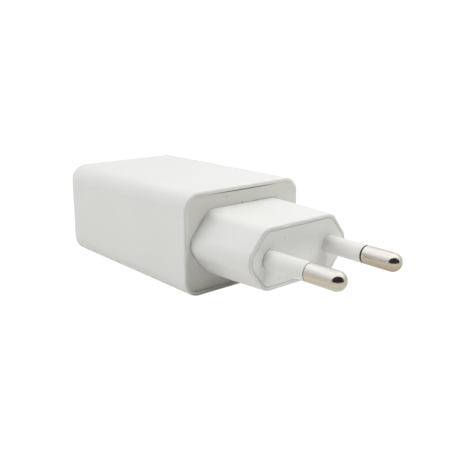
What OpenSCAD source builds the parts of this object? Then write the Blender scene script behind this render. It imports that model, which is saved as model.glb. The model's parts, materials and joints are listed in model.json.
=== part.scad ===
// USB wall charger with a two-pin round plug, lying on its broad face.
// +X points out of the plug pins and +Z is up. The origin is on the bottom face,
// below the middle of the overall length. Every length is in millimetres.

/* [Casing] */
// Length of the casing, along the plug direction
body_l = 50.5; // [50:0.5:60]
// Width of the casing
body_w = 35; // [35:0.5:40]
// Height of the casing
body_h = 23.6; // [23.6:0.2:28]
// Radius of the four long edges
corner_r = 4; // [3:0.5:5]
// Radius of the edges round the USB end
back_r = 1.8; // [0.8:0.2:2.4]
// Radius of the outer edge of the rim at the plug end
rim_r = 0.4; // [0.2:0.1:0.8]
// Thickness of the casing's side walls
wall = 1.8; // [1.6:0.1:2]
// Thickness of the wall at the USB end
back_wall = 2; // [1.8:0.1:2.2]
// Width of the rim that frames the face plate
rim = 1; // [0.8:0.1:1.4]

/* [Plug end] */
// Thickness of the face plate
plate_t = 2; // [1.6:0.2:2.4]
// How far the face plate sits below the rim
plate_sink = 0.25; // [0:0.05:0.4]
// Length of the six-sided boss that stands on the face plate
boss_l = 17.5; // [17:0.5:20]
// Width of the boss at the face plate, before its corners are rounded
base_w = 33.8; // [32:0.2:34]
// Height of the boss at the face plate
base_h = 15.2; // [14:0.2:15.6]
// Width of the boss at the nose, before its corners are rounded
nose_w = 32.4; // [31.4:0.2:33]
// Height of the boss at the nose
nose_h = 13.7; // [13.2:0.1:14.2]
// Angle between the boss's slanted sides and its flat top
side_angle = 50; // [46:1:56]
// Corner radius of the boss's outline
hex_r = 3.8; // [3:0.1:4.2]
// Thickness of the pin carrier that closes the nose
insert_t = 6; // [5.4:0.2:6.4]

/* [Plug pins] */
// Length of a pin beyond the nose
pin_l = 19; // [18.5:0.5:19.5]
// Diameter of a pin and of its insulating sleeve
pin_d = 4; // [3.9:0.05:4.1]
// Distance between the pins at the nose
pin_pitch = 18.4; // [18:0.2:19.2]
// Angle by which each pin leans towards the other
pin_toe = 1.4; // [0:0.1:1.5]
// Length of the insulating sleeve beyond the nose
sleeve_l = 10.5; // [10:0.5:11]

/* [USB socket] */
// Width of the socket's mouth
usb_w = 12.5; // [12.4:0.1:12.6]
// Height of the socket's mouth
usb_h = 5.12; // [5.1:0.02:5.2]
// How far the tongue sits behind the front of the socket's shell
tongue_back = 2.3; // [2.2:0.1:2.8]

/* [Hidden] */
$fn = 48;

LEFT = -1;   // the side towards -Y
RIGHT = 1;   // the side towards +Y
seam = 0.05; // clearance on each side of a moulded seam
cut = 1;     // how far a cutting solid runs past the face it cuts
hull_fn = 32;

// stations along X
total_l = body_l + boss_l + pin_l;
back_x = -total_l / 2;
plate_x = back_x + body_l;
nose_x = plate_x + boss_l;
plate_back_x = plate_x - plate_sink - plate_t;
inner_x = back_x + back_wall;

// heights
mid_z = body_h / 2;
inner_w = body_w - 2 * wall;
inner_h = body_h - 2 * wall;

// boss and pin carrier
nose_fillet = 0.5;
nose_rim = 0.9;
boss_wall = 1.5;
flange_t = 1.2;
flange_grow = 1.2;
insert_sink = 0.05;
insert_x = nose_x - insert_sink - insert_t;

// plug pins, measured along a pin's own axis from the nose
pin_r = pin_d / 2;
shank_r = 1.55;
shoulder_r = 2.3;
shoulder_back = -2.7;
shoulder_front = -0.8; // below the carrier's face, which leaves a groove round the sleeve
neck_r = 1.8;          // the sleeve inside that groove
collar_r = 2.6;
collar_back = -4.2;
collar_t = 1.2;
tail_back = -8.25;
fit_gap = 0.02;

// socket, and the hole for its mouth in the casing
mouth_gap = 0.2;
mouth_r = 0.5;
sheet = 0.3;
shell_l = 14;
shell_r = 0.4;
shell_x = inner_x;
shell_end = shell_x + shell_l;
shell_w = usb_w + 2 * sheet;
shell_h = usb_h + 2 * sheet;
block_l = 2.7;
block_x = shell_end - sheet - block_l;
tongue_w = 11.1;
tongue_t = 1.84;
tongue_low = mid_z + 0.27;
slot_w = 1.3;
slot_h = 1;
leaf_y = [-3.6, 3.6];
leaf_w = 1.6;
leaf_t = 0.2;
leaf_path = [[7.9, 0], [4.7, -0.25], [3.2, -0.06]]; // from the shell's front and its wall
window_l = 5;
window_w = 2.2;
window_x = 5.25;
contact_w = 1;
contact_t = 0.24;
contact_y = [-3.5, -1, 1, 3.5];
hinge_x = block_x - 0.55;
hinge_z = tongue_low + 0.25;
hinge_r = 0.2;
finger_path = [[0, 0], [-5.4, -0.6], [-6.2, -0.66], [-7, -0.45], [-7.6, -0.1]];

// main board, on which the socket's shell stands
board_t = 1.6;
board_top = mid_z - shell_h / 2;
board_low = board_top - board_t;
board_x = inner_x + 0.25;
board_end = plate_back_x - flange_t - 0.7;
board_w = inner_w - 1.4;
rail_w = 1.5;
rail_t = 1;
rail_stop = 4; // length of board past the rails, at the plug end
film_w = inner_w - 5.4;
film_t = 0.25;
film_z = wall + 0.3;
leg_r = 0.3;

// brass strips between the pins and the board
strip_w = 2.4;
strip_t = 0.4;
eye_r = 2.5;
strip_foot_x = board_end - 5.6;
strip_tab_x = insert_x - 1.25;
strip_y = pin_pitch / 2 + (nose_x - strip_tab_x) * sin(pin_toe);

// transformer: its centre leg lies along Y
core_w = 13;
core_l = 12.4;
core_t = 6;
core_bar = 1.5;
centre_leg = 3;
core_x = board_x + 27;
core_z = board_top + 6.6;
tube_wall = 0.6;
tube_w = centre_leg + 0.2 + 2 * tube_wall;
tube_h = core_t + 0.2 + 2 * tube_wall;
bobbin_l = core_l - 2 * core_bar - 0.2;
flange_w = core_w - 2 * core_bar - 0.6;
flange_h = 11.2;
foot_w = 2.8;
foot_low = core_z - flange_h / 2;
foot_h = core_z - core_t / 2 - 0.1 - foot_low;
winding_l = bobbin_l - 2 * tube_wall - 0.1;
gap_w = 1.2;  // slot in the board between its mains side and its USB side
gap_l = 12;
primary_t = 0.9;
tape_t = 0.15;
secondary_t = 0.7;

// choke: a bobbin of ferrite with a neck between two round ends
choke_lift = 0.4;
choke_end_t = 1;
choke_end_r = 2.9;
choke_neck_h = 5.8;
choke_neck_r = 1.2;
choke_wire_z = choke_lift + choke_end_t + seam;

// parts that stand on the board: [x, y]
input_cap_at = [board_end - 4.5, 4.1];
output_cap_at = [board_x + 7.5, 10.9];
y_cap_at = [core_x - core_w / 2 - 3.8, 10.3];
choke_at = [core_x + 3.5, -11.1];
resistor_at = [core_x + 2, 10.8];
diode_at = [core_x - 6.5, -10.8];

// ---------- helpers ----------

function hex_centres(width, height) =
    let (y = (height / 2 - hex_r),
         side = width / 2 - hex_r / sin(side_angle),
         top = side - y / tan(side_angle))
    [[side, 0], [top, y], [-top, y], [-side, 0], [-top, -y], [top, -y]];

// outline in the YZ plane, extruded along +X from x
module along_x(x, length) {
    translate([x, 0, mid_z]) rotate([90, 0, 90]) linear_extrude(length) children();
}

module rounded_rect(width, height, r) {
    square([width - 2 * r, height], center = true);
    square([width, height - 2 * r], center = true);
    for (x = [-1, 1], y = [-1, 1])
        translate([x * (width / 2 - r), y * (height / 2 - r)]) circle(r = r);
}

// the six rounded corners of the boss's outline, ready to be hulled
module hex_corners(x, thickness, width, height, inset) {
    for (c = hex_centres(width, height))
        translate([x, c[0], mid_z + c[1]]) rotate([0, 90, 0])
            cylinder(h = thickness, r = hex_r - inset, $fn = hull_fn);
}

// children along +Z are laid along a pin's axis, with their origin at the nose
module on_pin(side) {
    translate([nose_x, side * pin_pitch / 2, mid_z])
        rotate([0, 0, -side * pin_toe]) rotate([0, 90, 0]) children();
}

module ring_along(from, to, r) {
    translate([0, 0, from]) cylinder(h = to - from, r = r);
}

// a flat strip bent through points in the XZ plane, centred on y
module bent_strip(points, y, width, thickness) {
    for (p = points)
        translate([p[0], y, p[1]]) rotate([90, 0, 0])
            cylinder(h = width, d = thickness, center = true);
    for (i = [0 : len(points) - 2]) {
        step = points[i + 1] - points[i];
        translate([points[i][0], y, points[i][1]]) rotate([0, -atan2(step[1], step[0]), 0])
            translate([0, -width / 2, -thickness / 2]) cube([norm(step), width, thickness]);
    }
}

// a rectangular sleeve round the transformer's centre leg, along Y
module winding_ring(bore_w, bore_h, thickness, length) {
    translate([core_x, 0, core_z]) rotate([90, 0, 0]) difference() {
        linear_extrude(length, center = true)
            rounded_rect(bore_w + 2 * thickness, bore_h + 2 * thickness, thickness + 0.1);
        cube([bore_w, bore_h, length + cut], center = true);
    }
}

// a part on the board's underside, drawn as if it stood on a table
module under_board(at) {
    translate([at[0], at[1], board_low]) mirror([0, 0, 1]) children();
}

// ---------- casing and plug end ----------

// side or top view of the casing, with its end edges rounded
module end_profile(span) {
    part_l = body_l - 2 * back_r;
    translate([back_x + part_l / 2, 0]) rounded_rect(part_l, span, back_r);
    translate([plate_x - part_l / 2, 0]) rounded_rect(part_l, span, rim_r);
}

module casing_block() {
    intersection() {
        along_x(back_x, body_l) rounded_rect(body_w, body_h, corner_r);
        translate([0, 0, mid_z]) rotate([90, 0, 0])
            linear_extrude(body_w + cut, center = true) end_profile(body_h);
        translate([0, 0, mid_z]) linear_extrude(body_h + cut, center = true)
            end_profile(body_w);
    }
}

// ribs along both walls that hold the edges of the board
module board_rails() {
    rail_l = board_end - rail_stop - inner_x;
    for (side = [LEFT, RIGHT], z = [board_low - seam - rail_t / 2, board_top + seam + rail_t / 2])
        translate([inner_x - seam + rail_l / 2, side * (inner_w - rail_w + seam) / 2, z])
            cube([rail_l, rail_w + seam, rail_t], center = true);
}

module casing() {
    color("white") {
        difference() {
            casing_block();
            along_x(inner_x, body_l) rounded_rect(inner_w, inner_h, corner_r - wall);
            along_x(plate_back_x, plate_t + plate_sink + cut)
                rounded_rect(body_w - 2 * rim, body_h - 2 * rim, corner_r - rim);
            along_x(back_x - cut, back_wall + 2 * cut)
                rounded_rect(usb_w + 2 * mouth_gap, usb_h + 2 * mouth_gap, mouth_r);
        }
        board_rails();
    }
}

module face_plate() {
    color("gainsboro") difference() {
        along_x(plate_back_x, plate_t)
            rounded_rect(body_w - 2 * (rim + seam), body_h - 2 * (rim + seam),
                         corner_r - rim - seam);
        hull() hex_corners(plate_back_x - cut, plate_t + 2 * cut, base_w, base_h, -seam);
    }
}

// hollow six-sided boss, trapped behind the face plate by its flange
module plug_boss() {
    color("whitesmoke") difference() {
        union() {
            hull() {
                hex_corners(plate_back_x, plate_t + plate_sink, base_w, base_h, 0);
                for (a = [0 : 30 : 90])
                    hex_corners(nose_x - nose_fillet * (1 - sin(a)) - seam, seam, nose_w, nose_h,
                                nose_fillet * (1 - cos(a)));
            }
            along_x(plate_back_x - flange_t, flange_t)
                rounded_rect(inner_w - 4 * seam, base_h + 2 * flange_grow, corner_r - wall);
        }
        hull() hex_corners(plate_back_x - flange_t - cut, boss_l + 2 * cut + flange_t,
                           nose_w, nose_h, boss_wall);
        hull() hex_corners(insert_x, insert_t + cut, nose_w, nose_h, nose_rim);
    }
}

module nose_insert() {
    color("gainsboro") difference() {
        hull() hex_corners(insert_x, insert_t, nose_w, nose_h, nose_rim + seam);
        for (side = [LEFT, RIGHT]) on_pin(side) {
            ring_along(tail_back, cut, shank_r + fit_gap);
            ring_along(shoulder_back, cut, shoulder_r + 2 * seam);
            ring_along(collar_back - fit_gap, collar_back + collar_t + fit_gap, collar_r + fit_gap);
        }
    }
}

module plug_pin(side) {
    color("silver") on_pin(side) {
        ring_along(tail_back, sleeve_l, shank_r);
        ring_along(collar_back, collar_back + collar_t, collar_r);
        ring_along(sleeve_l, pin_l - pin_r, pin_r);
        translate([0, 0, pin_l - pin_r]) sphere(r = pin_r);
    }
}

module pin_sleeve(side) {
    color("whitesmoke") on_pin(side) difference() {
        union() {
            ring_along(shoulder_back, shoulder_front, shoulder_r);
            ring_along(shoulder_front, -insert_sink, neck_r);
            ring_along(-insert_sink, sleeve_l - seam, pin_r);
        }
        ring_along(shoulder_back - cut, sleeve_l + cut, shank_r + fit_gap);
    }
}

// brass strip that carries the mains from an eye round a pin's tail to the board
module mains_strip(side) {
    low = board_top + strip_t / 2;
    eye_z = mid_z - shank_r - strip_w / 4;
    color("goldenrod") difference() {
        union() {
            bent_strip([[strip_foot_x, low], [strip_tab_x, low], [strip_tab_x, eye_z]],
                       side * strip_y, strip_w, strip_t);
            translate([strip_tab_x, side * strip_y, mid_z]) rotate([0, 90, 0])
                cylinder(h = strip_t, r = eye_r, center = true);
        }
        on_pin(side) ring_along(tail_back - cut, shoulder_back, shank_r + seam);
    }
}

// ---------- board and socket ----------

module main_board() {
    color("darkgreen") difference() {
        translate([board_x, -board_w / 2, board_low])
            cube([board_end - board_x, board_w, board_t]);
        translate([core_x - core_w / 2 - 2, 0, board_low - cut])
            linear_extrude(board_t + 2 * cut) rounded_rect(gap_w, gap_l, 0.5);
    }
}

module insulation_sheet() {
    color("khaki") translate([board_x, -film_w / 2, film_z])
        cube([board_end - board_x, film_w, film_t]);
}

// leaf springs that grip a plug, cut from the shell's top and bottom walls
module shell_leaves(up) {
    wall_z = mid_z + up * (usb_h + sheet) / 2;
    for (y = leaf_y)
        bent_strip([for (p = leaf_path) [shell_x + p[0], wall_z + up * p[1]]], y, leaf_w, leaf_t);
}

module usb_shell() {
    color("silver") {
        difference() {
            along_x(shell_x, shell_l) rounded_rect(shell_w, shell_h, shell_r + sheet);
            along_x(shell_x - cut, shell_l + 2 * cut) rounded_rect(usb_w, usb_h, shell_r);
            for (y = leaf_y)
                translate([shell_x + window_x, y, mid_z])
                    cube([window_l, window_w, shell_h + cut], center = true);
        }
        shell_leaves(1);
        shell_leaves(-1);
    }
}

module usb_insulator() {
    color("dimgray") difference() {
        union() {
            along_x(block_x, block_l) rounded_rect(usb_w - 2 * seam, usb_h - 2 * seam, shell_r);
            translate([shell_x + tongue_back, -tongue_w / 2, tongue_low])
                cube([block_x - shell_x - tongue_back + seam, tongue_w, tongue_t]);
        }
        for (y = contact_y) {
            translate([shell_x + tongue_back + 0.2, y - slot_w / 2, tongue_low - cut])
                cube([block_x - shell_x - tongue_back - 0.2, slot_w, slot_h + cut]);
            translate([block_x - cut, y - contact_w / 2 - seam, hinge_z - contact_t / 2 - seam])
                cube([block_l + 2 * cut, contact_w + 2 * seam, contact_t + 2 * seam]);
        }
    }
}

// the fixed rear halves of the four contacts, down to the board
module usb_tails() {
    drop_x = shell_end + 0.35;
    color("gold") for (y = contact_y)
        bent_strip([[hinge_x + 0.45, hinge_z], [drop_x, hinge_z],
                    [drop_x, board_top + contact_t / 2]], y, contact_w, contact_t);
}

// one springing finger, which a plug presses up into the tongue
module contact_finger(index) {
    color("gold") translate([hinge_x, 0, hinge_z]) {
        bent_strip(finger_path, contact_y[index], contact_w, contact_t);
        translate([0, contact_y[index], 0]) rotate([90, 0, 0])
            cylinder(h = contact_w, r = hinge_r, center = true);
    }
}

// ---------- transformer ----------

// E-shaped half core, its three legs meeting the other half's at the middle
module core_half(side) {
    half_l = core_l / 2;
    color("dimgray") translate([core_x, 0, core_z]) rotate([0, 0, side == RIGHT ? 0 : 180]) {
        translate([0, half_l - core_bar / 2, 0]) cube([core_w, core_bar, core_t], center = true);
        translate([0, half_l / 2, 0]) cube([centre_leg, half_l, core_t], center = true);
        for (x = [-1, 1])
            translate([x * (core_w - core_bar) / 2, half_l / 2, 0])
                cube([core_bar, half_l, core_t], center = true);
    }
}

module bobbin() {
    color("black") {
        winding_ring(centre_leg + 0.2, core_t + 0.2, tube_wall, bobbin_l);
        for (side = [LEFT, RIGHT]) {
            translate([core_x, side * (bobbin_l - tube_wall) / 2, core_z]) difference() {
                cube([flange_w, tube_wall, flange_h], center = true);
                cube([centre_leg + 0.2, tube_wall + cut, core_t + 0.2], center = true);
            }
            translate([core_x, side * ((bobbin_l + foot_w) / 2 - tube_wall), foot_low + foot_h / 2])
                cube([core_w, foot_w, foot_h], center = true);
        }
    }
}

module transformer_legs() {
    color("silver") for (side = [LEFT, RIGHT], i = [-1.5 : 1 : 1.5])
        translate([core_x + i * 3, side * (bobbin_l / 2 + foot_w / 2), board_top])
            cylinder(h = foot_low - board_top, r = leg_r);
}

module primary_winding() {
    color("chocolate") winding_ring(tube_w, tube_h, primary_t, winding_l);
}

module winding_tape() {
    grow = 2 * primary_t;
    color("gold") winding_ring(tube_w + grow, tube_h + grow, tape_t, winding_l);
}

module secondary_winding() {
    grow = 2 * (primary_t + tape_t);
    color("orangered") winding_ring(tube_w + grow, tube_h + grow, secondary_t, winding_l);
}

module outer_tape() {
    grow = 2 * (primary_t + tape_t + secondary_t);
    color("gold") winding_ring(tube_w + grow, tube_h + grow, tape_t, winding_l);
}

// ---------- parts on top of the board ----------

// radial electrolytic capacitor with a crimp ring near its foot
module can_capacitor(at, d, h, tint) {
    lift = 0.4;
    crimp_z = 1.6;
    crimp_r = 0.35;
    top_rim = 0.7;
    top_sink = 0.25;
    translate([at[0], at[1], board_top]) {
        color(tint) difference() {
            translate([0, 0, lift]) cylinder(h = h, d = d);
            translate([0, 0, lift + crimp_z]) rotate_extrude() translate([d / 2, 0])
                circle(r = crimp_r);
            translate([0, 0, lift + h - top_sink]) cylinder(h = cut, d = d - 2 * top_rim);
        }
        color("silver") for (x = [-d / 4, d / 4])
            translate([x, 0, 0]) cylinder(h = lift, r = leg_r);
    }
}

module input_capacitor(side) {
    can_capacitor([input_cap_at[0], side * input_cap_at[1]], 8, 12, "darkslategray");
}

module output_capacitor(side) {
    can_capacitor([output_cap_at[0], side * output_cap_at[1]], 6.3, 11, "steelblue");
}

// ceramic safety capacitor, a disc that stands across the isolation gap
module y_capacitor() {
    d = 7.4;
    t = 3.4;
    lift = 1.4;
    leg_h = lift + 0.9;
    translate([y_cap_at[0], y_cap_at[1], board_top]) {
        color("royalblue") translate([0, 0, lift + d / 2]) rotate([0, 90, 0]) rotate_extrude() {
            square([(d - t) / 2, t]);
            translate([(d - t) / 2, t / 2]) circle(r = t / 2);
        }
        color("silver") for (y = [-2, 2])
            translate([t / 2, y, 0]) cylinder(h = leg_h, r = leg_r);
    }
}

module choke_core() {
    color("dimgray") translate([choke_at[0], choke_at[1], board_top]) {
        for (z = [choke_lift, choke_lift + choke_end_t + choke_neck_h])
            translate([0, 0, z]) cylinder(h = choke_end_t, r = choke_end_r);
        translate([0, 0, choke_lift + choke_end_t]) cylinder(h = choke_neck_h, r = choke_neck_r);
        for (x = [-1.5, 1.5])
            translate([x, 0, 0]) cylinder(h = choke_lift, r = leg_r);
    }
}

module choke_winding() {
    length = choke_neck_h - 2 * seam;
    color("chocolate") translate([choke_at[0], choke_at[1], board_top + choke_wire_z])
        difference() {
            cylinder(h = length, r = choke_end_r - 0.3);
            translate([0, 0, -cut]) cylinder(h = length + 2 * cut, r = choke_neck_r);
        }
}

// axial part along X, thicker at its ends, with its leads bent down to the board
module axial_part(at, d, length, span, tint, end_tint) {
    axis_z = d / 2 + 0.5;
    end_l = 1.4;
    end_grow = 0.3;
    translate([at[0], at[1], board_top]) {
        color(tint) translate([-length / 2, 0, axis_z]) rotate([0, 90, 0])
            cylinder(h = length, d = d);
        color(end_tint) for (x = [-length / 2, length / 2 - end_l])
            translate([x, 0, axis_z]) rotate([0, 90, 0]) cylinder(h = end_l, d = d + end_grow);
        color("silver") for (side = [-1, 1]) {
            translate([side * span / 2, 0, 0]) cylinder(h = axis_z, r = leg_r);
            translate([side * span / 2, 0, axis_z]) sphere(r = leg_r);
            translate([side * (span + length) / 4, 0, axis_z]) rotate([0, 90, 0])
                cylinder(h = (span - length) / 2, r = leg_r, center = true);
        }
    }
}

module fusible_resistor() {
    axial_part(resistor_at, 3.6, 9, 12.4, "seagreen", "seagreen");
}

module clamp_diode() {
    axial_part(diode_at, 2.6, 5.2, 8.6, "black", "lightgray");
}

// ---------- parts under the board ----------

// moulded package with the given number of leads along its two long sides
module lead_package(at, length, width, height, leads, pitch) {
    stand_off = 0.15;
    lead_w = 0.45;
    lead_l = 0.9;
    under_board(at) {
        color("black") translate([-length / 2, -width / 2, stand_off])
            cube([length, width, height]);
        color("silver") for (side = [-1, 1], i = [0 : leads - 1])
            translate([(i - (leads - 1) / 2) * pitch, side * (width + lead_l) / 2, height / 4])
                cube([lead_w, lead_l, height / 2], center = true);
    }
}

// a row of chip parts, each a body between two metal ends
module chip_row(at, count, pitch, size, tint) {
    end_l = 0.4;
    for (i = [0 : count - 1]) under_board([at[0] + i * pitch, at[1]]) {
        color(tint) translate([0, 0, size[2] / 2])
            cube([size[0] - 2 * end_l, size[1], size[2]], center = true);
        color("silver") for (side = [-1, 1])
            translate([side * (size[0] - end_l) / 2, 0, size[2] / 2])
                cube([end_l, size[1], size[2]], center = true);
    }
}

module bridge_rectifier() {
    lead_package([board_end - 5, 6], 4.7, 3.9, 2.4, 2, 2.54);
}

module controller_chip() {
    lead_package([core_x + 7, -6], 4.9, 3.9, 1.5, 4, 1.27);
}

module output_rectifier() {
    lead_package([board_x + 17, 5], 4.9, 3.9, 1.5, 4, 1.27);
}

module chip_resistors() {
    chip_row([core_x - 8, 10], 6, 4, [2, 1.25, 0.5], "black");
}

module chip_capacitors() {
    chip_row([core_x - 10, -11], 4, 4.5, [3.2, 1.6, 1.2], "tan");
}

// ---------- nodes ----------

casing();
face_plate();
plug_boss();
nose_insert();
plug_pin(LEFT);  // pin_left
plug_pin(RIGHT);  // pin_right
pin_sleeve(LEFT);  // sleeve_left
pin_sleeve(RIGHT);  // sleeve_right
mains_strip(LEFT);  // strip_left
mains_strip(RIGHT);  // strip_right
main_board();
insulation_sheet();
usb_shell();
usb_insulator();
usb_tails();
contact_finger(0);  // contact_vbus
contact_finger(1);  // contact_data_minus
contact_finger(2);  // contact_data_plus
contact_finger(3);  // contact_ground
core_half(LEFT);  // core_half_left
core_half(RIGHT);  // core_half_right
bobbin();
transformer_legs();
primary_winding();
winding_tape();
secondary_winding();
outer_tape();
input_capacitor(LEFT);  // input_capacitor_left
input_capacitor(RIGHT);  // input_capacitor_right
output_capacitor(LEFT);  // output_capacitor_left
output_capacitor(RIGHT);  // output_capacitor_right
y_capacitor();
choke_core();
choke_winding();
fusible_resistor();
clamp_diode();
bridge_rectifier();
controller_chip();
output_rectifier();
chip_resistors();
chip_capacitors();
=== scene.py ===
"""Looks for a USB wall charger with a two-pin round plug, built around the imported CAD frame.

The charger lies on its broad face. +X points out of the plug pins, -Y is the left side and
+Z is up. Blender works in metres; the piece builders below work in millimetres and scale once,
when a mesh is made.
"""

import json
import math
from functools import cached_property

import bmesh
import bpy
from mathutils import Matrix, Vector


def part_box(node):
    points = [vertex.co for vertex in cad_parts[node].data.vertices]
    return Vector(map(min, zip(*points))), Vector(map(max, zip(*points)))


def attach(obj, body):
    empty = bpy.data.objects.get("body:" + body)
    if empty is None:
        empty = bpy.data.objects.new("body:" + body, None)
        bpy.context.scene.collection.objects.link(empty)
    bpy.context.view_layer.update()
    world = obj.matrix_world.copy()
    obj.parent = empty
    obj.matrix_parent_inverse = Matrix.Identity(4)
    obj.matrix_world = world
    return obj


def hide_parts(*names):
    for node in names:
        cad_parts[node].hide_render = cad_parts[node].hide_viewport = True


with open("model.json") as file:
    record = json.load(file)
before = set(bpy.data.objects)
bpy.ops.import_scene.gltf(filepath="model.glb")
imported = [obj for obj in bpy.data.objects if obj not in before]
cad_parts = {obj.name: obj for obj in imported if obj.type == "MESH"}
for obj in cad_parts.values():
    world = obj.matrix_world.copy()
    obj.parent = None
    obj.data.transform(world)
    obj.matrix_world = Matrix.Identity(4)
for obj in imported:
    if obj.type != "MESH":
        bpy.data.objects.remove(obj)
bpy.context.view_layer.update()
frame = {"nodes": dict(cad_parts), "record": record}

BODY = "charger"
MM = 0.001

# ---------- sizes shared with the CAD, in millimetres ----------

CORNER_R = 4.0  # long edges of the casing
BACK_R = 1.8  # edges round the USB end
RIM_R = 0.4  # outer edge of the rim
WALL = 1.8
BACK_WALL = 2.0
RIM = 1.0
SEAM = 0.05
CLEARANCE = 0.02  # round a shank in its sleeve, and round a sleeve in the carrier
MOUTH_W, MOUTH_H, MOUTH_R = 12.9, 5.52, 0.5
HEX_R = 3.8
SIDE_ANGLE = 50.0
BASE_W, BASE_H = 33.8, 15.2
NOSE_W, NOSE_H = 32.4, 13.7
NOSE_FILLET = 0.5
NOSE_RIM = 0.9
BOSS_WALL = 1.5
FLANGE_T, FLANGE_RISE = 1.2, 1.2  # thickness of the boss's flange, and its reach past the boss
PIN_R = 2.0
PIN_PITCH = 18.4
PIN_TOE = 1.4
PIN_TAIL, TAIL_EDGE = -8.25, 0.2
SHANK_R = 1.55
NECK_R = 1.8
SHOULDER_R = 2.3
SHOULDER_BACK, SHOULDER_FRONT = -2.7, -0.8
INSERT_SINK = 0.05  # how far the carrier's face lies behind the nose
COLLAR_R, COLLAR_BACK, COLLAR_T = 2.6, -4.2, 1.2
SLEEVE_L = 10.5
PIN_L = 19.0
RAIL_W, RAIL_T = 1.5, 1.0
RAIL_END = 4.0  # the rails stop this far behind the board's front edge
BOARD_T = 1.6

# ---------- small wear and play that only the visible model has, in millimetres ----------

SEAM_LIFT = 0.14  # how much narrower the rim is along its top
SEAM_LIFT_DEPTH = 3.0  # the narrowing fades out this far below the top of an outline
SLEEVE_GAP = {-1: 0.12, 1: 0.36}  # open joint between a sleeve's end and the thick end of its pin

CORNER_STEPS = 14
FILLET_STEPS = 5
TURN_STEPS = 96


def low_high(node):
    """Lowest and highest corner of a CAD node, in millimetres."""
    low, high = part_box(node)
    return low / MM, high / MM


casing_low, casing_high = low_high("casing")
plate_low, plate_high = low_high("face_plate")
_, boss_high = low_high("plug_boss")
insert_low, insert_high = low_high("nose_insert")
_, board_high = low_high("main_board")

BACK_X, FRONT_X = casing_low.x, casing_high.x
CASING_W = casing_high.y - casing_low.y
CASING_H = casing_high.z - casing_low.z
MID_Z = (casing_low.z + casing_high.z) / 2
PLATE_BACK_X, PLATE_X = plate_low.x, plate_high.x
NOSE_X = boss_high.x
INSERT_X, INSERT_FACE_X = insert_low.x, insert_high.x

# ---------- outlines in the YZ plane, counterclockwise seen from +X ----------


def arc(centre, radius, start, end, steps):
    """Points of an arc, from start to end in degrees."""
    turns = [math.radians(start + (end - start) * i / steps) for i in range(steps + 1)]
    return [(centre[0] + radius * math.cos(t), centre[1] + radius * math.sin(t)) for t in turns]


def rounded_rect(width, height, radius, steps=CORNER_STEPS):
    points = []
    for quarter, (side, up) in enumerate(((1, 1), (-1, 1), (-1, -1), (1, -1))):
        centre = (side * (width / 2 - radius), up * (height / 2 - radius))
        points += arc(centre, radius, 90 * quarter, 90 * quarter + 90, steps)
    return points


def hexagon(width, height, inset=0.0):
    """The boss's outline: flat top and bottom, slanted sides and six rounded corners."""
    slope = math.radians(SIDE_ANGLE)
    rise = height / 2 - HEX_R
    side = width / 2 - HEX_R / math.sin(slope)
    top = side - rise / math.tan(slope)
    centres = [(side, 0), (top, rise), (-top, rise), (-side, 0), (-top, -rise), (top, -rise)]
    normals = [SIDE_ANGLE - 90, 90 - SIDE_ANGLE, 90, 90 + SIDE_ANGLE, 270 - SIDE_ANGLE, 270]
    turns = [2 * (90 - SIDE_ANGLE), SIDE_ANGLE, SIDE_ANGLE] * 2
    points = []
    for centre, normal, turn in zip(centres, normals, turns):
        points += arc(centre, HEX_R - inset, normal, normal + turn, CORNER_STEPS)
    return points


def subdivided(outline, longest):
    """The outline with points added until no side is longer than that."""
    points = []
    for a, b in zip(outline, outline[1:] + outline[:1]):
        pieces = max(1, math.ceil(math.dist(a, b) / longest))
        points += [(a[0] + (b[0] - a[0]) * i / pieces, a[1] + (b[1] - a[1]) * i / pieces)
                   for i in range(pieces)]
    return points


def lifted(outline):
    """The outline with its top raised; the raise fades out towards the sides."""
    top = max(z for _, z in outline)
    return [(y, z + SEAM_LIFT * max(0.0, (z - top + SEAM_LIFT_DEPTH) / SEAM_LIFT_DEPTH))
            for y, z in outline]


def projected(outline, width, height):
    """The outline pushed out along its own rays until it meets a rectangle."""
    points = []
    for y, z in outline:
        reach = min(width / 2 / abs(y) if y else math.inf, height / 2 / abs(z) if z else math.inf)
        points.append((y * reach, z * reach))
    return points


def station(x, outline):
    return [Vector((x, y, MID_Z + z)) for y, z in outline]


def quarter_turn(radius, steps=FILLET_STEPS):
    """(along, inwards) pairs round a fillet, from the side face to the end face."""
    angles = [math.pi / 2 * i / steps for i in range(steps + 1)]
    return [(radius * math.sin(a), radius * (1 - math.cos(a))) for a in angles]


# ---------- meshes ----------


def finish_mesh(name, bm, slot_name, body=BODY, replaces=(), sharp=35.0):
    """Turns a bmesh in millimetres into a smooth-shaded piece that rides on a body."""
    bmesh.ops.remove_doubles(bm, verts=bm.verts, dist=1e-5)
    bmesh.ops.recalc_face_normals(bm, faces=bm.faces)
    bmesh.ops.scale(bm, vec=(MM, MM, MM), verts=bm.verts)
    mesh = bpy.data.meshes.new(name)
    bm.to_mesh(mesh)
    bm.free()
    for face in mesh.polygons:
        face.use_smooth = True
    mesh.set_sharp_from_angle(angle=math.radians(sharp))
    piece = bpy.data.objects.new(name, mesh)
    bpy.context.scene.collection.objects.link(piece)
    weighted = piece.modifiers.new("weighted normals", "WEIGHTED_NORMAL")
    weighted.keep_sharp = True
    mesh.materials.append(material_for(slot_name))
    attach(piece, body)
    if replaces:
        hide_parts(*replaces)
    return piece


def skin(bm, loops, closed=False):
    """Faces between each loop of points and the next; closed joins the last to the first."""
    rings = [[bm.verts.new(point) for point in loop] for loop in loops]
    pairs = list(zip(rings, rings[1:]))
    if closed:
        pairs.append((rings[-1], rings[0]))
    for near, far in pairs:
        for i in range(len(near)):
            j = (i + 1) % len(near)
            bm.faces.new((near[i], near[j], far[j], far[i]))
    return rings


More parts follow.
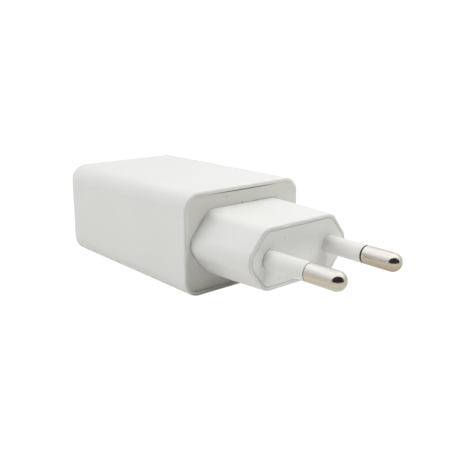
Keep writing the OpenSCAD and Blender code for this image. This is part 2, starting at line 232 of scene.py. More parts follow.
def fill_between(bm, rings):
    """A flat face inside the first ring, with the other rings as holes."""
    edges = []
    for ring in rings:
        for a, b in zip(ring, ring[1:] + ring[:1]):
            edges.append(bm.edges.get((a, b)) or bm.edges.new((a, b)))
    bmesh.ops.triangle_fill(bm, use_beauty=True, use_dissolve=False, edges=edges)


def box_into(bm, low, high):
    matrix = Matrix.Translation((low + high) / 2) @ Matrix.Diagonal((*(high - low), 1))
    bmesh.ops.create_cube(bm, size=1.0, matrix=matrix)


def stage_object(name, bm):
    """Links a bmesh in metres as an object that isn't part of the charger."""
    mesh = bpy.data.meshes.new(name)
    bm.to_mesh(mesh)
    bm.free()
    thing = bpy.data.objects.new(name, mesh)
    bpy.context.scene.collection.objects.link(thing)
    return thing


def pin_frame(side):
    """Where a pin's own axis lies: local +Z runs out along the pin from the nose."""
    return (Matrix.Translation((NOSE_X, side * PIN_PITCH / 2, MID_Z))
            @ Matrix.Rotation(math.radians(-side * PIN_TOE), 4, "Z")
            @ Matrix.Rotation(math.radians(90), 4, "Y"))


def turned(bm, profile, matrix, closed=False):
    """Revolves (along, radius) points about local Z; a radius of zero closes an end."""
    rings = []
    for along, radius in profile:
        if radius < 1e-6:
            rings.append([bm.verts.new(matrix @ Vector((0, 0, along)))])
            continue
        angles = [2 * math.pi * i / TURN_STEPS for i in range(TURN_STEPS)]
        rings.append([bm.verts.new(matrix @ Vector((radius * math.cos(a), radius * math.sin(a),
                                                     along))) for a in angles])
    pairs = list(zip(rings, rings[1:]))
    if closed:
        pairs.append((rings[-1], rings[0]))
    for near, far in pairs:
        for i in range(TURN_STEPS):
            j = (i + 1) % TURN_STEPS
            corners = [near[i % len(near)], near[j % len(near)],
                       far[j % len(far)], far[i % len(far)]]
            bm.faces.new(list(dict.fromkeys(corners)))


# ---------- materials ----------


class Nodes:
    """Short names for the few shader nodes that the materials are made of."""

    def __init__(self, name):
        self.material = bpy.data.materials.new(name)
        self.material.use_nodes = True
        self.tree = self.material.node_tree
        self.shader = self.tree.nodes["Principled BSDF"]

    @cached_property
    def place(self):
        """Object coordinates, in metres."""
        return self.node("ShaderNodeTexCoord").outputs["Object"]

    def link(self, source, target):
        self.tree.links.new(source, target)

    def node(self, kind, **settings):
        node = self.tree.nodes.new(kind)
        for key, value in settings.items():
            setattr(node, key, value)
        return node

    def stretched(self, scale):
        """Object coordinates multiplied along each axis, in features per metre."""
        node = self.node("ShaderNodeMapping")
        node.inputs["Scale"].default_value = scale
        self.link(self.place, node.inputs["Vector"])
        return node.outputs["Vector"]

    def noise(self, scale, detail=3.0, rough=0.5, place=None):
        node = self.node("ShaderNodeTexNoise")
        node.inputs["Scale"].default_value = scale
        node.inputs["Detail"].default_value = detail
        node.inputs["Roughness"].default_value = rough
        self.link(place or self.place, node.inputs["Vector"])
        return node.outputs["Fac"]

    def parts(self, vector):
        node = self.node("ShaderNodeSeparateXYZ")
        self.link(vector, node.inputs[0])
        return node.outputs

    def normal(self):
        return self.parts(self.node("ShaderNodeNewGeometry").outputs["Normal"])

    def ranged(self, value, low, high, start=0.3, end=0.7, smooth=False):
        node = self.node("ShaderNodeMapRange")
        if smooth:
            node.interpolation_type = "SMOOTHSTEP"
        for socket, number in (("From Min", start), ("From Max", end),
                               ("To Min", low), ("To Max", high)):
            node.inputs[socket].default_value = number
        self.link(value, node.inputs["Value"])
        return node.outputs["Result"]

    def faded(self, value, low, high, millimetres):
        """A smooth change from low to high between two places in millimetres."""
        start, end = millimetres
        return self.ranged(value, low, high, start * MM, end * MM, True)

    def math(self, operation, a, b):
        node = self.node("ShaderNodeMath", operation=operation)
        for socket, value in zip(node.inputs, (a, b)):
            if isinstance(value, (int, float)):
                socket.default_value = value
            else:
                self.link(value, socket)
        return node.outputs["Value"]

    def blend(self, factor, first, second):
        """Colour mix; either colour may be a tuple or another node's output."""
        node = self.node("ShaderNodeMix", data_type="RGBA")
        self.link(factor, node.inputs["Factor"])
        for socket, value in ((node.inputs[6], first), (node.inputs[7], second)):
            if isinstance(value, tuple):
                socket.default_value = (*value, 1)
            else:
                self.link(value, socket)
        return node.outputs[2]

    def bump(self, height, distance):
        node = self.node("ShaderNodeBump")
        node.inputs["Distance"].default_value = distance
        node.inputs["Strength"].default_value = 1.0
        self.link(height, node.inputs["Height"])
        self.link(node.outputs["Normal"], self.shader.inputs["Normal"])

    def finish(self, metallic=0.0, specular=0.5):
        """Sets the values that are the same all over and gives the material."""
        self.shader.inputs["Metallic"].default_value = metallic
        self.shader.inputs["Specular IOR Level"].default_value = specular
        return self.material


def shaded(colour, factor):
    return tuple(channel * factor for channel in colour)


# Specks in the white mouldings: (x, y, z, radius, strength), the first four in millimetres
PLATE_SPECKS = ((6.82, -5.6, 21.35, 0.15, 0.5), (6.82, -5.3, 21.6, 0.12, 0.4),
                (6.85, -0.8, 19.6, 0.17, 1.0), (6.87, 3.7, 19.75, 0.14, 0.55))
BOSS_SPECKS = ((9.4, -9.6, 19.25, 0.14, 0.45),)
INSERT_SPECKS = ((24.45, -4.9, 15.8, 0.14, 0.35), (24.45, -4.8, 15.5, 0.1, 0.3),
                 (24.45, -6.1, 6.9, 0.12, 0.35), (24.45, 3.3, 11.8, 0.12, 0.35))
SPECK_TONE = (0.10, 0.09, 0.07)
SEAM_DIRT = (0.23, 0.095, 0.02)
SEAM_SHADE = (0.50, 0.48, 0.42)  # painted shade on the edges and hole walls of the carrier
RIM_TINT = (0.84, 0.815, 0.72)
# painted reflection: darker, browner underside of the right pin, broken into streaks
PIN_PAINTED_REFLECTION = (0.49, 0.40, 0.29)
PIN_JOINT_SHADE = (0.07, 0.06, 0.035)  # painted shade in the open joint behind a pin's thick end
END_SHADE = (0.16, 0.14, 0.075)  # painted shade on the end of a sleeve, in the open joint
END_FACE = 1.0  # the end of a sleeve with painted shade lies within this distance of the joint

# The open seam under the top of the rim, in millimetres
SEAM_DIRT_Z = 22.05  # its faces lie above this height
SEAM_HAZE_Z = (22.44, 22.58)  # dirt on the plate's face thickens over this height,
SEAM_HAZE_Y = (3.0, 12.0)  # fades out over this distance from the middle,
SEAM_HAZE_DEPTH = 0.4  # and reaches back this far from the plate's face

# Other stains and a painted reflection, in millimetres
RIM_PROUD = 0.08  # the rim's face stands out further than this from the plate
RIM_TINT_Y = (8.0, 16.0)  # the yellow of the rim's face fades over this range
PIN_PAINTED_REFLECTION_Z = (-1.4, 0.6)  # the painted reflection on the right pin's underside fades over this height from a pin's axis


def seam_dirt(nodes, tone, facing):
    """Brown dirt on the faces of the top seam that look up (1) or down (-1), and round it."""
    normal, place = nodes.normal(), nodes.parts(nodes.place)
    turned_in = nodes.math("GREATER_THAN", nodes.math("MULTIPLY", normal["Z"], facing), 0.6)
    high = nodes.math("GREATER_THAN", place["Z"], SEAM_DIRT_Z * MM)
    tone = nodes.blend(nodes.math("MULTIPLY", turned_in, high), tone, SEAM_DIRT)
    if facing < 0:  # the rim's own face is a little yellowed
        rim_face = nodes.math("GREATER_THAN", place["X"], (PLATE_X + RIM_PROUD) * MM)
        share = nodes.faded(place["Y"], 0.6, 0.1, RIM_TINT_Y)
        return nodes.blend(nodes.math("MULTIPLY", rim_face, share), tone, RIM_TINT)
    across = nodes.faded(nodes.math("ABSOLUTE", place["Y"], 0.0), 1, 0, SEAM_HAZE_Y)
    front = nodes.math("GREATER_THAN", place["X"], (PLATE_X - SEAM_HAZE_DEPTH) * MM)
    near = nodes.faded(place["Z"], 0, 0.7, SEAM_HAZE_Z)
    haze = nodes.math("MULTIPLY", nodes.math("MULTIPLY", across, front), near)
    return nodes.blend(haze, tone, SEAM_DIRT)


def white_plastic(name, colour, roughness, specks=(), seam=0, shade=0.0, shaded_end=None):
    """Moulded white plastic: faint clouding, fine spark-eroded grain and slow waviness."""
    nodes = Nodes(name)
    tone = nodes.blend(nodes.ranged(nodes.noise(90, 2), 0, 1),
                       shaded(colour, 0.985), shaded(colour, 1.005))
    for x, y, z, radius, strength in specks:
        gap = nodes.node("ShaderNodeVectorMath", operation="DISTANCE")
        nodes.link(nodes.place, gap.inputs[0])
        gap.inputs[1].default_value = (x * MM, y * MM, z * MM)
        mark = nodes.faded(gap.outputs["Value"], strength, 0, (0.5 * radius, 1.4 * radius))
        tone = nodes.blend(mark, tone, SPECK_TONE)
    if shade:  # painted shade on the edges and walls of a flat part that faces +X
        turned = nodes.ranged(nodes.normal()["X"], shade, 0, 0.75, 0.95, True)
        tone = nodes.blend(turned, tone, SEAM_SHADE)
    if seam:
        tone = seam_dirt(nodes, tone, seam)
    if shaded_end:  # painted shade on the end that faces +X
        turned = nodes.math("GREATER_THAN", nodes.normal()["X"], 0.9)
        at_end = nodes.math("GREATER_THAN", nodes.parts(nodes.place)["X"], shaded_end * MM)
        tone = nodes.blend(nodes.math("MULTIPLY", turned, at_end), tone, END_SHADE)
    nodes.link(tone, nodes.shader.inputs["Base Color"])
    grain = nodes.noise(5200, 2, 0.6)
    waves = nodes.noise(150, 1)
    nodes.link(nodes.ranged(nodes.noise(420, 3), roughness - 0.04, roughness + 0.05),
               nodes.shader.inputs["Roughness"])
    nodes.bump(nodes.math("ADD", nodes.math("MULTIPLY", grain, 0.12), waves), 0.00002)
    return nodes.finish()


def plain_plastic(name, colour, roughness, grain=3000, depth=0.00001, variation=0.08):
    """Duller mouldings, coats and packages inside the casing."""
    nodes = Nodes(name)
    cloud = nodes.ranged(nodes.noise(600, 3), 0, 1)
    nodes.link(nodes.blend(cloud, shaded(colour, 1 - variation), shaded(colour, 1 + variation)),
               nodes.shader.inputs["Base Color"])
    nodes.link(nodes.ranged(nodes.noise(900, 2), roughness - 0.06, roughness + 0.08),
               nodes.shader.inputs["Roughness"])
    nodes.bump(nodes.noise(grain, 3, 0.6), depth)
    return nodes.finish()


def sheet_metal(name, colour, roughness, along=(60, 4000, 4000)):
    """Rolled or plated metal with fine lines along one axis and slight staining."""
    nodes = Nodes(name)
    lines = nodes.noise(1.0, 4, 0.6, nodes.stretched(along))
    stains = nodes.noise(260, 3)
    nodes.link(nodes.blend(nodes.ranged(stains, 0, 1), shaded(colour, 0.93), colour),
               nodes.shader.inputs["Base Color"])
    nodes.link(nodes.ranged(lines, roughness - 0.05, roughness + 0.07),
               nodes.shader.inputs["Roughness"])
    nodes.bump(lines, 0.000004)
    return nodes.finish(metallic=1.0)


def pin_metal(name, colour, roughness):
    """Nickel with lines along the pin; the right pin's underside has a painted darker, browner
    reflection in streaks.
    """
    nodes = Nodes(name)
    lines = nodes.noise(1.0, 4, 0.6, nodes.stretched((120, 5200, 5200)))
    streaks = nodes.noise(1.0, 3, 0.6, nodes.stretched((70, 1400, 1400)))
    place = nodes.parts(nodes.place)
    right = nodes.math("GREATER_THAN", place["Y"], 0.0)
    low = nodes.faded(place["Z"], 1, 0, [MID_Z + height for height in PIN_PAINTED_REFLECTION_Z])
    painted_reflection = nodes.math("MULTIPLY", nodes.math("MULTIPLY", right, low),
                         nodes.ranged(streaks, 0.45, 1))
    clean = nodes.blend(nodes.ranged(streaks, 0, 1), shaded(colour, 0.88), shaded(colour, 1.04))
    tone = nodes.blend(painted_reflection, clean, PIN_PAINTED_REFLECTION)
    joint_x = NOSE_X + SLEEVE_L - 0.01  # just behind the thick end
    # painted shade: the pin behind its thick end is dark, so the open joint reads dark
    in_joint = nodes.math("LESS_THAN", place["X"], joint_x * MM)
    nodes.link(nodes.blend(in_joint, tone, PIN_JOINT_SHADE), nodes.shader.inputs["Base Color"])
    nodes.link(nodes.ranged(lines, roughness - 0.05, roughness + 0.07),
               nodes.shader.inputs["Roughness"])
    nodes.bump(lines, 0.0000025)
    return nodes.finish(metallic=1.0)


def wound_wire(name, colour, roughness, metallic, axis="Z", pitch=0.00028):
    """Round wire side by side: it rises and falls over twice the pitch, with painted shade in the
    dips.
    """
    nodes = Nodes(name)
    wave = nodes.node("ShaderNodeTexWave", wave_type="BANDS", bands_direction=axis)
    wave.inputs["Scale"].default_value = math.pi / pitch / 20  # it turns 20 radians a unit
    wave.inputs["Distortion"].default_value = 0.4
    wave.inputs["Detail"].default_value = 1.0
    nodes.link(nodes.place, wave.inputs["Vector"])
    ribs = wave.outputs["Fac"]
    # painted shade: the colour falls to a third in the dips between the wires
    nodes.link(nodes.blend(nodes.ranged(ribs, 0, 1, 0.0, 0.5), shaded(colour, 0.3), colour),
               nodes.shader.inputs["Base Color"])
    nodes.link(nodes.ranged(ribs, roughness + 0.2, roughness, 0.0, 1.0),
               nodes.shader.inputs["Roughness"])
    nodes.bump(ribs, pitch * 0.35)
    return nodes.finish(metallic)


def laminate(name):
    """Glass-epoxy board: green mask over faint copper runs and woven glass."""
    nodes = Nodes(name)
    weave = nodes.node("ShaderNodeTexBrick", offset=0.5)
    weave.inputs["Scale"].default_value = 700
    weave.inputs["Mortar Size"].default_value = 0.1
    nodes.link(nodes.place, weave.inputs["Vector"])
    runs = nodes.node("ShaderNodeTexVoronoi", feature="DISTANCE_TO_EDGE", distance="CHEBYCHEV")
    runs.inputs["Scale"].default_value = 190
    nodes.link(nodes.place, runs.inputs["Vector"])
    copper = nodes.ranged(runs.outputs["Distance"], 0, 1, 0.07, 0.1)
    nodes.link(nodes.blend(copper, (0.012, 0.085, 0.03), (0.02, 0.17, 0.06)),
               nodes.shader.inputs["Base Color"])
    nodes.link(nodes.ranged(nodes.noise(500, 2), 0.3, 0.45), nodes.shader.inputs["Roughness"])
    nodes.bump(nodes.math("ADD", nodes.math("MULTIPLY", weave.outputs["Fac"], 0.2), copper),
               0.00003)
    return nodes.finish()


def striped_can(name, colour, stripe):
    """Shrunk sleeve of a capacitor, with a pale polarity stripe down one side."""
    nodes = Nodes(name)
    bands = nodes.node("ShaderNodeTexWave", wave_type="BANDS", bands_direction="X")
    bands.inputs["Scale"].default_value = 60
    nodes.link(nodes.place, bands.inputs["Vector"])
    mark = nodes.ranged(bands.outputs["Fac"], 0, 1, 0.9, 0.92)
    nodes.link(nodes.blend(mark, colour, stripe), nodes.shader.inputs["Base Color"])
    nodes.link(nodes.ranged(nodes.noise(300, 2), 0.22, 0.34), nodes.shader.inputs["Roughness"])
    nodes.bump(nodes.noise(800, 2), 0.00003)
    return nodes.finish()


MAKERS = {
    "white_shell": lambda n: white_plastic(n, (0.80, 0.80, 0.785), 0.42, seam=-1),
    "plate_plastic": lambda n: white_plastic(n, (0.775, 0.772, 0.715), 0.46, PLATE_SPECKS, seam=1),
    "boss_plastic": lambda n: white_plastic(n, (0.80, 0.80, 0.78), 0.36, BOSS_SPECKS),
    "carrier_plastic": lambda n: white_plastic(n, (0.84, 0.84, 0.80), 0.46, INSERT_SPECKS, 0, 0.8),
    "sleeve_plastic": lambda n: white_plastic(n, (0.78, 0.775, 0.75), 0.34,
                                              shaded_end=NOSE_X + SLEEVE_L - END_FACE),
    "pin_nickel": lambda n: pin_metal(n, (0.76, 0.725, 0.68), 0.19),
    "strip_brass": lambda n: sheet_metal(n, (0.74, 0.50, 0.20), 0.32),
    "board_laminate": laminate,
    "sheet_film": lambda n: plain_plastic(n, (0.52, 0.40, 0.17), 0.5, 1500, 0.00002),
    "shell_steel": lambda n: sheet_metal(n, (0.66, 0.66, 0.67), 0.27, (200, 3000, 3000)),
    "socket_plastic": lambda n: plain_plastic(n, (0.74, 0.735, 0.70), 0.5, variation=0.03),
    "contact_gold": lambda n: sheet_metal(n, (0.86, 0.62, 0.26), 0.2),
    "ferrite": lambda n: plain_plastic(n, (0.035, 0.034, 0.036), 0.62, 2200, 0.00004, 0.25),
    "bobbin_plastic": lambda n: plain_plastic(n, (0.02, 0.02, 0.021), 0.48),
    "tinned_wire": lambda n: sheet_metal(n, (0.68, 0.68, 0.67), 0.34),
    "enamel_wire": lambda n: wound_wire(n, (0.50, 0.17, 0.05), 0.28, 0.8),
    "insulated_wire": lambda n: wound_wire(n, (0.62, 0.10, 0.02), 0.4, 0.0, "Y", 0.0006),
    "winding_film": lambda n: plain_plastic(n, (0.70, 0.46, 0.03), 0.24, 500, 0.00003),
    "capacitor_dark": lambda n: striped_can(n, (0.012, 0.018, 0.024), (0.45, 0.46, 0.46)),
    "capacitor_blue": lambda n: striped_can(n, (0.02, 0.055, 0.17), (0.60, 0.62, 0.62)),
    "disc_ceramic": lambda n: plain_plastic(n, (0.02, 0.07, 0.33), 0.3, 700, 0.00004),
    "resistor_coat": lambda n: plain_plastic(n, (0.03, 0.14, 0.07), 0.42, 900, 0.00004),
    "mould_black": lambda n: plain_plastic(n, (0.022, 0.022, 0.023), 0.58, 2600, 0.00002),
    "chip_ceramic": lambda n: plain_plastic(n, (0.34, 0.25, 0.14), 0.55, 2600, 0.00001),
}
made_materials = {}


def material_for(slot_name):
    if slot_name not in made_materials:
        made_materials[slot_name] = MAKERS[slot_name](slot_name)
    return made_materials[slot_name]


def finish_frame_nodes():
    """Every CAD node gets its slot's procedural material."""
    for part in frame["record"]["subparts"]:
        for socket in frame["nodes"][part["node"]].material_slots:
            socket.material = material_for(part["material_slot"])


# ---------- pieces ----------


def casing():
    """One cup-shaped moulding with a rounded back, a rim at the front and the USB hole."""
    edge = 0.25  # round edge of the USB hole
    lip = 0.05  # round inner edge of the rim

    def body(inset):
        return rounded_rect(CASING_W - 2 * inset, CASING_H - 2 * inset, CORNER_R - inset)

    def mouth(grow):
        return rounded_rect(MOUTH_W + 2 * grow, MOUTH_H + 2 * grow, MOUTH_R + grow)

    inner_x = BACK_X + BACK_WALL
    loops = [station(inner_x, mouth(0))]
    loops += [station(BACK_X + edge - along, mouth(inwards))
              for along, inwards in quarter_turn(edge)]
    loops += [station(BACK_X + BACK_R - along, body(inwards))
              for along, inwards in reversed(quarter_turn(BACK_R, 10))]
    loops += [station(FRONT_X - RIM_R + along, body(inwards))
              for along, inwards in quarter_turn(RIM_R)]
    loops += [station(FRONT_X - lip + along, lifted(body(RIM - inwards)))
              for along, inwards in reversed(quarter_turn(lip))]
    loops += [station(PLATE_BACK_X, lifted(body(RIM))),
              station(PLATE_BACK_X, body(WALL)),
              station(inner_x, body(WALL))]
    bm = bmesh.new()
    skin(bm, loops, closed=True)
    add_rails(bm, inner_x)
    return finish_mesh("casing_shell", bm, "white_shell", replaces=["casing"])


def add_rails(bm, inner_x):
    """Ribs inside both walls, above and below the edges of the board."""
    reach = CASING_W / 2 - WALL
    for side in (-1, 1):
        for low_z in (board_high.z - BOARD_T - SEAM - RAIL_T, board_high.z + SEAM):
            near, far = side * (reach - RAIL_W), side * (reach + SEAM)
            box_into(bm, Vector((inner_x - SEAM, min(near, far), low_z)),
                     Vector((board_high.x - RAIL_END, max(near, far), low_z + RAIL_T)))


def face_plate():
    """Plate round the boss. Its top edge is bowed a little, which opens the seam there."""
    edge = 0.05
    hole_edge = 0.06
    longest = 1.0  # side of the outline, so that it can bend
    bow, bow_power = 0.17, 2.2
    bow_middle, bow_half = -0.5, 13.6
    close = 0.035  # how far the plate is shifted towards the rim at its top and right
    proud = 0.2  # how much less the plate's right edge is sunk than its left edge
    top = CASING_H / 2 - RIM - 1  # what lies above belongs to the top edge
    right = CASING_W / 2 - RIM - 2  # and what lies beyond this to the right edge

    def outer(inset):
        grow = 2 * (RIM + SEAM + inset)
        outline = subdivided(rounded_rect(CASING_W - grow, CASING_H - grow,
                                          CORNER_R - RIM - SEAM - inset), longest)
        bowed = []
        for y, z in outline:
            share = (y - bow_middle) / bow_half
            sink = bow * math.cos(share * math.pi / 2) ** bow_power if abs(share) < 1 else 0
            bowed.append((y + close * (y > right), z + (close - sink) * (z > top)))
        return lifted(bowed)

    def hole(grow):
        return hexagon(BASE_W, BASE_H, -SEAM - grow)

    def askew(x, outline):
        half = CASING_W / 2 - RIM
        return [point + Vector((proud * (point.y + half) / 2 / half, 0, 0))
                for point in station(x, outline)]

    bm = bmesh.new()
    rim_loops = [station(PLATE_BACK_X, outer(0))]
    rim_loops += [askew(PLATE_X - edge + along, outer(inwards))
                  for along, inwards in quarter_turn(edge)]
    hole_loops = [station(PLATE_BACK_X, hole(0))]
    hole_loops += [askew(PLATE_X - hole_edge + along, hole(inwards))
                   for along, inwards in quarter_turn(hole_edge)]
    rim_rings, hole_rings = skin(bm, rim_loops), skin(bm, hole_loops)
    fill_between(bm, [rim_rings[-1], hole_rings[-1]])
    fill_between(bm, [rim_rings[0], hole_rings[0]])
    return finish_mesh("end_plate", bm, "plate_plastic", replaces=["face_plate"])


def plug_boss():
    """Hollow six-sided boss with a soft nose, and its flange behind the face plate."""
    lip = 0.1

    def nose(inset):
        return hexagon(NOSE_W, NOSE_H, inset)

    flange = projected(hexagon(BASE_W, BASE_H), CASING_W - 2 * WALL - 4 * SEAM,
                       BASE_H + 2 * FLANGE_RISE)
    loops = [station(PLATE_BACK_X, hexagon(BASE_W, BASE_H)),
             station(FRONT_X, hexagon(BASE_W, BASE_H))]
    loops += [station(NOSE_X - NOSE_FILLET + along, nose(inwards))
              for along, inwards in quarter_turn(NOSE_FILLET, 8)]
    loops += [station(NOSE_X - lip + along, nose(NOSE_RIM - inwards))
              for along, inwards in reversed(quarter_turn(lip))]
    loops += [station(INSERT_X, nose(NOSE_RIM)), station(INSERT_X, nose(BOSS_WALL)),
              station(PLATE_BACK_X - FLANGE_T, nose(BOSS_WALL)),
              station(PLATE_BACK_X - FLANGE_T, flange), station(PLATE_BACK_X, flange)]
    bm = bmesh.new()
    skin(bm, loops, closed=True)
    return finish_mesh("plug_body", bm, "boss_plastic", replaces=["plug_boss"])


def nose_insert():
    """Carrier that closes the nose, with a stepped hole for each pin."""
    edge = 0.1
    hole_edge = 0.03
    shank = SHANK_R + CLEARANCE
    bore = SHOULDER_R + 2 * SEAM
    throat = PIN_R + CLEARANCE  # narrower mouth of the hole, in front of the sleeve's shoulder
    hole_steps = 64

    def outer(inset):
        return hexagon(NOSE_W, NOSE_H, NOSE_RIM + SEAM + inset)

    def hole(side, x, radius):
        centre = (side * (PIN_PITCH / 2 - math.tan(math.radians(PIN_TOE)) * (x - NOSE_X)), 0)
        return station(x, arc(centre, radius, 0, 360, hole_steps)[:-1])

    bm = bmesh.new()
    rim_loops = [station(INSERT_X, outer(0))]
    rim_loops += [station(INSERT_FACE_X - edge + along, outer(inwards))
                  for along, inwards in quarter_turn(edge)]
    rim_rings = skin(bm, rim_loops)
    front, back = [rim_rings[-1]], [rim_rings[0]]
    shoulder_back, shoulder_front = NOSE_X + SHOULDER_BACK, NOSE_X + SHOULDER_FRONT + SEAM
    for side in (-1, 1):
        loops = [hole(side, INSERT_X, shank), hole(side, shoulder_back, shank),
                 hole(side, shoulder_back, bore), hole(side, shoulder_front, bore),
                 hole(side, shoulder_front, throat)]
        loops += [hole(side, INSERT_FACE_X - hole_edge + along, throat + inwards)
                  for along, inwards in quarter_turn(hole_edge)]
        rings = skin(bm, loops)
        front.append(rings[-1])
        back.append(rings[0])
    fill_between(bm, front)
    fill_between(bm, back)
    return finish_mesh("pin_carrier", bm, "carrier_plastic", replaces=["nose_insert"])


def pin(side, name, node):
    """Nickel-plated pin: thin shank inside the sleeve, full-size end with a bullet nose."""
    edge = 0.06
    nose_steps = 20
    profile = [(PIN_TAIL, 0), (PIN_TAIL, SHANK_R - TAIL_EDGE), (PIN_TAIL + TAIL_EDGE, SHANK_R),
               (COLLAR_BACK, SHANK_R), (COLLAR_BACK, COLLAR_R), (COLLAR_BACK + COLLAR_T, COLLAR_R),
               (COLLAR_BACK + COLLAR_T, SHANK_R), (SLEEVE_L, SHANK_R)]
    profile += [(SLEEVE_L + edge - along, PIN_R - inwards)
                for along, inwards in reversed(quarter_turn(edge, 3))]
    for i in range(nose_steps + 1):
        angle = math.pi / 2 * i / nose_steps
        radius = PIN_R * math.cos(angle) if i < nose_steps else 0
        profile.append((PIN_L - PIN_R + PIN_R * math.sin(angle), radius))
    bm = bmesh.new()
    turned(bm, profile, pin_frame(side))
    return finish_mesh(name, bm, "pin_nickel", replaces=[node])


def sleeve(side, name, node):
    """Insulating sleeve round the pin's shank, with a shoulder sunk in the carrier."""
    edge = 0.05
    end = SLEEVE_L - SLEEVE_GAP[side]
    bore = SHANK_R + CLEARANCE
    profile = [(SHOULDER_BACK, bore), (SHOULDER_BACK, SHOULDER_R), (SHOULDER_FRONT, SHOULDER_R),
               (SHOULDER_FRONT, NECK_R), (-INSERT_SINK, NECK_R), (-INSERT_SINK, PIN_R)]
    profile += [(end - edge + along, PIN_R - inwards) for along, inwards in quarter_turn(edge, 3)]
    profile += [(end, bore)]
    bm = bmesh.new()
    turned(bm, profile, pin_frame(side), closed=True)
    return finish_mesh(name, bm, "sleeve_plastic", replaces=[node])


# ---------- stage, light and camera ----------

FLOOR_HALF = 3.0
FLOOR_DROP = 0.00002
FLOOR_TONE = 0.95
FLOOR_GLOW = 0.96  # share of the floor's own white that the camera sees
FLOOR_MIRRORED = (0.74, 0.70, 0.60)  # what glossy surfaces see of the floor

# What glossy surfaces see of the room: (height of the direction from -1 to 1, brightness)
ROOM = ((-1.0, 0.6), (0.0, 0.63), (0.24, 0.66), (0.4, 0.9), (0.55, 0.94), (0.74, 1.22),
        (1.0, 1.3))
ROOM_PEAK = 1.3
ROOM_WHITE = 1.05

# name: (azimuth, elevation, distance, side, watts), in degrees and metres; azimuth 0 is at -Y
# and 90 at +X
LIGHTS = {
    "left_high": (320, 65, 0.8, 0.6, 2.35),
    "left": (334, 35, 0.8, 0.6, 2.04),
    "left_low": (0, 10, 0.8, 0.5, 0.36),
    "back_high": (230, 65, 0.8, 0.6, 0.3),
    "right_far": (140, 35, 0.8, 0.6, 0.3),
    "right": (150, 50, 0.25, 0.15, 0.3),
    "front_right": (110, 50, 0.25, 0.15, 0.12),
    "far_end": (305, 40, 0.22, 0.15, 0.045),
}

# Dark opening of the tent round the camera, in front of the pin tips: azimuth, elevation,
# distance, half width and half height
OPENING = (51.0, 18.5, 0.16, 0.38, 0.19)
OPENING_FROM = (41.5, 0.0, 11.8)
OPENING_TONE = (0.012, 0.009, 0.007)
OPENING_STEPS = 64


def floor():
    """A white floor; the camera sees mostly its glow and glossy surfaces see their own tone."""
    bm = bmesh.new()
    bmesh.ops.create_grid(bm, x_segments=8, y_segments=8, size=FLOOR_HALF)
    ground = stage_object("floor", bm)
    ground.location = (0, 0, -FLOOR_DROP)
    nodes = Nodes("floor_white")
    nodes.shader.inputs["Base Color"].default_value = (*[FLOOR_TONE] * 3, 1)
    nodes.shader.inputs["Roughness"].default_value = 0.9
    path = nodes.node("ShaderNodeLightPath").outputs
    mirrored = nodes.node("ShaderNodeEmission")
    mirrored.inputs["Color"].default_value = (*FLOOR_MIRRORED, 1)
    glow = nodes.node("ShaderNodeEmission")
    glow.inputs["Strength"].default_value = ROOM_WHITE
    seen = nodes.math("MULTIPLY", path["Is Camera Ray"], FLOOR_GLOW)
    nodes.finish(specular=0.1)
    surface = nodes.shader.outputs[0]
    for share, other in ((path["Is Glossy Ray"], mirrored), (seen, glow)):
        mix = nodes.node("ShaderNodeMixShader")
        nodes.link(share, mix.inputs[0])
        nodes.link(surface, mix.inputs[1])
        nodes.link(other.outputs[0], mix.inputs[2])
        surface = mix.outputs[0]
    nodes.link(surface, nodes.tree.nodes["Material Output"].inputs["Surface"])
    ground.data.materials.append(nodes.material)


def surroundings():
    """A pale room for light and reflections, plain white where the camera sees it."""
    world = bpy.data.worlds.new("studio")
    bpy.context.scene.world = world
    world.use_nodes = True
    tree = world.node_tree
    nodes = tree.nodes
    direction = nodes.new("ShaderNodeTexCoord").outputs["Generated"]
    parts = nodes.new("ShaderNodeSeparateXYZ")
    tree.links.new(direction, parts.inputs[0])
    height = nodes.new("ShaderNodeMapRange")
    height.inputs["From Min"].default_value = -1.0
    tree.links.new(parts.outputs["Z"], height.inputs["Value"])
    ramp = nodes.new("ShaderNodeValToRGB")
    stops = ramp.color_ramp.elements
    for i, (level, brightness) in enumerate(ROOM):
        position = (level + 1) / 2
        stop = stops[-1] if i == len(ROOM) - 1 else stops[0] if i == 0 else stops.new(position)
        stop.position = position
        stop.color = (*[brightness / ROOM_PEAK] * 3, 1)
    tree.links.new(height.outputs[0], ramp.inputs[0])
    room = nodes["Background"]
    room.inputs["Strength"].default_value = ROOM_PEAK
    tree.links.new(ramp.outputs[0], room.inputs["Color"])
    white = nodes.new("ShaderNodeBackground")
    white.inputs["Color"].default_value = (1, 1, 1, 1)
    white.inputs["Strength"].default_value = ROOM_WHITE
    mix = nodes.new("ShaderNodeMixShader")
    seen = nodes.new("ShaderNodeLightPath").outputs["Is Camera Ray"]
    tree.links.new(seen, mix.inputs[0])
    tree.links.new(room.outputs[0], mix.inputs[1])
    tree.links.new(white.outputs[0], mix.inputs[2])
    tree.links.new(mix.outputs[0], nodes["World Output"].inputs["Surface"])
    world.cycles_visibility.diffuse = False


def towards(azimuth, elevation):
    """Unit vector to a place seen from the object."""
    a, e = math.radians(azimuth), math.radians(elevation)
    return Vector((math.sin(a) * math.cos(e), -math.cos(a) * math.cos(e), math.sin(e)))


def turn_to(thing, way):
    """Turns a lamp, a card or the camera at the end of that way to look back along it."""
    thing.rotation_mode = "QUATERNION"
    thing.rotation_quaternion = (-way).to_track_quat("-Z", "Y")


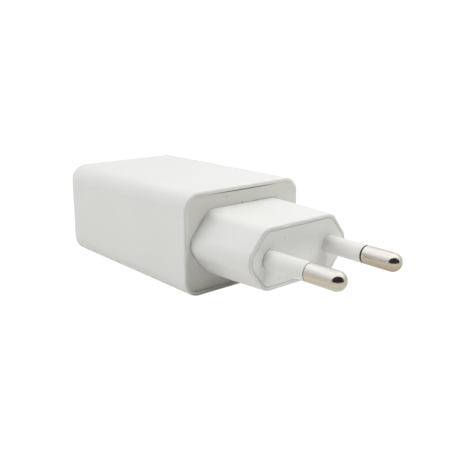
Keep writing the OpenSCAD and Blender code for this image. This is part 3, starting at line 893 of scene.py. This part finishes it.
def opening():
    """The dark opening that the camera looks through: only glossy surfaces see it."""
    azimuth, elevation, distance, half_w, half_h = OPENING
    way = towards(azimuth, elevation)
    bm = bmesh.new()
    turns = [2 * math.pi * i / OPENING_STEPS for i in range(OPENING_STEPS)]
    bm.faces.new([bm.verts.new((half_w * math.cos(t), half_h * math.sin(t), 0)) for t in turns])
    card = stage_object("opening", bm)
    card.location = Vector(OPENING_FROM) * MM + way * distance
    turn_to(card, way)
    nodes = Nodes("opening_dark")
    nodes.shader.inputs["Base Color"].default_value = (*OPENING_TONE, 1)
    nodes.shader.inputs["Roughness"].default_value = 1.0
    card.data.materials.append(nodes.finish(specular=0.0))
    card.visible_camera = False
    card.visible_diffuse = False
    card.visible_shadow = False
    card.visible_transmission = False


def lights():
    for name, (azimuth, elevation, distance, side, watts) in LIGHTS.items():
        data = bpy.data.lights.new(name, "AREA")
        data.shape = "SQUARE"
        data.size = side
        data.energy = watts
        lamp = bpy.data.objects.new(name, data)
        way = towards(azimuth, elevation)
        lamp.location = way * distance
        turn_to(lamp, way)
        lamp.visible_camera = False
        lamp.visible_glossy = False
        bpy.context.scene.collection.objects.link(lamp)


# Place in metres, turns in degrees with the azimuth counted as for the lights, lens in millimetres
CAMERA_PLACE = (0.11082, -0.09683, 0.05094)
CAMERA_AZIMUTH, CAMERA_ELEVATION, CAMERA_ROLL = 48.604, 14.789, 0.417
CAMERA_LENS, CAMERA_SENSOR = 50.08, 36.0


def camera():
    data = bpy.data.cameras.new("camera")
    data.lens, data.sensor_width = CAMERA_LENS, CAMERA_SENSOR
    data.clip_start, data.clip_end = 0.005, 20.0
    eye = bpy.data.objects.new("camera", data)
    eye.location = CAMERA_PLACE
    turn_to(eye, towards(CAMERA_AZIMUTH, CAMERA_ELEVATION))
    roll = Matrix.Rotation(math.radians(CAMERA_ROLL), 4, "Z").to_quaternion()
    eye.rotation_quaternion = eye.rotation_quaternion @ roll
    bpy.context.scene.collection.objects.link(eye)
    bpy.context.scene.camera = eye


camera()
finish_frame_nodes()
casing()
face_plate()
plug_boss()
nose_insert()
for side, hand in ((-1, "left"), (1, "right")):
    pin(side, f"plug_pin_{hand}", f"pin_{hand}")
    sleeve(side, f"plug_sleeve_{hand}", f"sleeve_{hand}")
floor()
surroundings()
opening()
lights()
bpy.context.scene.view_settings.view_transform = "Standard"
